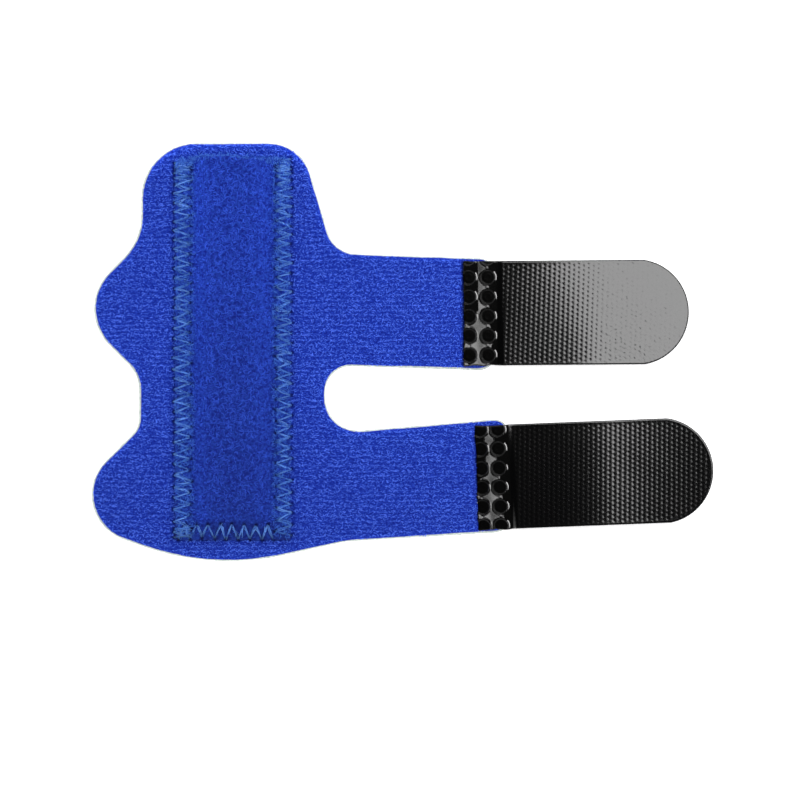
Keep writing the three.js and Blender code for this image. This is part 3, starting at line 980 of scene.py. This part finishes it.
def hooks(tab, black):
    """The hooks under a tab, one below each dot."""
    shape, shape_faces = one_hook()
    loop = tab_loop(tab, 0.4)
    c, s = turn_parts(DOT_SKEW)
    places = []
    for column in range(int(WELD_LENGTH / DOT_COLUMN) + 1, int(tab["length"] / DOT_COLUMN) + 2):
        for row in range(-13, 14):
            a = column * DOT_COLUMN
            b = (row + 0.5 * (column % 2)) * DOT_ROW
            places.append((c * a - s * b, s * a + c * b))
    places = np.array(places)
    keep = (places[:, 0] > WELD_LENGTH + 1.1) & (np.abs(places[:, 1]) < TAB_WIDTH / 2 - 0.5)
    radius = (TAB_WIDTH**2 / 4 + TAB_TIP**2) / (2 * TAB_TIP)
    past = places[:, 0] > tab["length"] - radius
    keep &= ~past | (np.hypot(places[:, 0] - tab["length"] + radius, places[:, 1]) < radius - 0.9)
    places = places[keep]
    parts = []
    for k, (u, v) in enumerate(places):
        turned = shape * ((1 if k % 2 else -1), 1, 1)
        drop = tab_bottom(tab, np.array([u]), np.array([v]))[0]
        faces = shape_faces if k % 2 else shape_faces[:, ::-1]
        parts.append((turned + (u, v, drop), faces))
    points, faces = joined(parts)
    piece = add_object("hooks_" + tab["name"], from_tab(tab, points), faces, [black])
    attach(piece, "root")
    return piece


def floor():
    made, tree, shader = material("white_table", 0.6, specular=0.2)
    shader.inputs["Base Color"].default_value = (0.92, 0.92, 0.92, 1)
    shader.inputs["Emission Color"].default_value = (1, 1, 1, 1)
    shader.inputs["Emission Strength"].default_value = 0.35
    grid = np.linspace(-FLOOR_REACH, FLOOR_REACH, 7)
    x, y = np.meshgrid(grid, grid)
    points = np.column_stack([x.ravel(), y.ravel(), np.full(x.size, -0.03)])
    piece = add_object("floor", points, quads(7, 7), [made])


def softbox(name, edge, turn, width, length, height, radiance):
    """A level softbox facing down, in metres. It reaches away from edge, the middle of its near side."""
    light = bpy.data.lights.new(name, "AREA")
    light.shape = "RECTANGLE"
    light.size = width
    light.size_y = length
    light.energy = radiance * math.pi * width * length
    lamp = bpy.data.objects.new(name, light)
    angle = math.radians(turn)
    c, s = math.cos(angle), math.sin(angle)
    lamp.location = (edge[0] + c * width / 2, edge[1] + s * width / 2, height)
    lamp.rotation_euler = (0, 0, angle)
    bpy.context.scene.collection.objects.link(lamp)


def tent():
    """A light tent: bright all round and dark straight above, where the camera looks in."""
    world = bpy.data.worlds.new("tent")
    world.use_nodes = True
    bpy.context.scene.world = world
    tree = world.node_tree
    place = tree.nodes.new("ShaderNodeTexCoord")
    parts = tree.nodes.new("ShaderNodeSeparateXYZ")
    spread = tree.nodes.new("ShaderNodeMapRange")
    spread.interpolation_type = "SMOOTHSTEP"
    for name, value in (("From Min", 0.5), ("From Max", 0.78), ("To Min", 2.4), ("To Max", 0.01)):
        spread.inputs[name].default_value = value
    tree.links.new(place.outputs["Generated"], parts.inputs["Vector"])
    tree.links.new(parts.outputs["Z"], spread.inputs["Value"])
    tree.links.new(spread.outputs["Result"], tree.nodes["Background"].inputs["Strength"])
    tree.nodes["Background"].inputs["Color"].default_value = (1, 1, 1, 1)


def camera():
    data = bpy.data.cameras.new("camera")
    data.lens = 300
    data.sensor_width = 36
    eye = bpy.data.objects.new("camera", data)
    eye.location = [place * MM for place in CAMERA_PLACE]
    bpy.context.scene.collection.objects.link(eye)
    bpy.context.scene.camera = eye


def build():
    outline = sheet_outline()
    edge = fabric_edge(outline)
    legs = seam_legs()
    pale = mottled("pale_foam", colour(150, 160, 158), colour(192, 198, 192), 0.5, bump=0.05)
    blue = mottled("loop_blue", colour(0, 18, 112), colour(22, 50, 156), 0.3, bump=0.1, uses_painted_shading=True)
    nap = strand_material("nap_blue", colour(4, 32, 138), colour(70, 106, 224), uses_painted_shading=True)
    tape = mottled("tape_blue", colour(2, 20, 104), colour(24, 54, 146), 0.5, bump=0.1, uses_painted_shading=True)
    pile = strand_material("pile_blue", colour(2, 18, 112), colour(42, 76, 194), uses_painted_shading=True)
    fray = strand_material("fray_blue", colour(6, 36, 140), colour(62, 108, 200))
    thread = strand_material("thread_teal", colour(54, 102, 190), colour(100, 148, 228), uses_painted_shading=True)
    satin = plastic("tape_black", (0.0008, 0.0008, 0.0009, 1), 0.11, 0.2, 0.003)
    gloss = plastic("weld_ridge", (0.0015, 0.0015, 0.0015, 1), 0.12, 0.3, 0.003, specular=1.0)
    # A dull black for the rings and pits, painted shade that keeps them dark.
    painted_pit_shade = plastic("weld_painted_shade", (0.0015, 0.0015, 0.0015, 1), 0.12, 0.3, 0.006, specular=0.14)
    plate = plastic("weld_plate", (0.002, 0.002, 0.002, 1), 0.2, 0.2, 0.003)
    foam = foam_sheet(outline, pale)
    face = loop_fabric(edge, blue)
    face_nap = fabric_nap(edge, nap)
    pocket = pocket_tape(tape, legs)
    pocket_loops = pocket_pile(pile, legs)
    frayed = loose_fibres(fray, legs)
    seam = seam_thread(thread, legs)
    for tab in TABS:
        hook_tab(tab, [satin, gloss, plate, painted_pit_shade])
        hooks(tab, satin)


build()
floor()
tent()
softbox("key_box", (0.074, 0.0235), 50, 0.3, 0.45, 0.6, 7.9)
camera()
bpy.context.scene.view_settings.view_transform = "Standard"
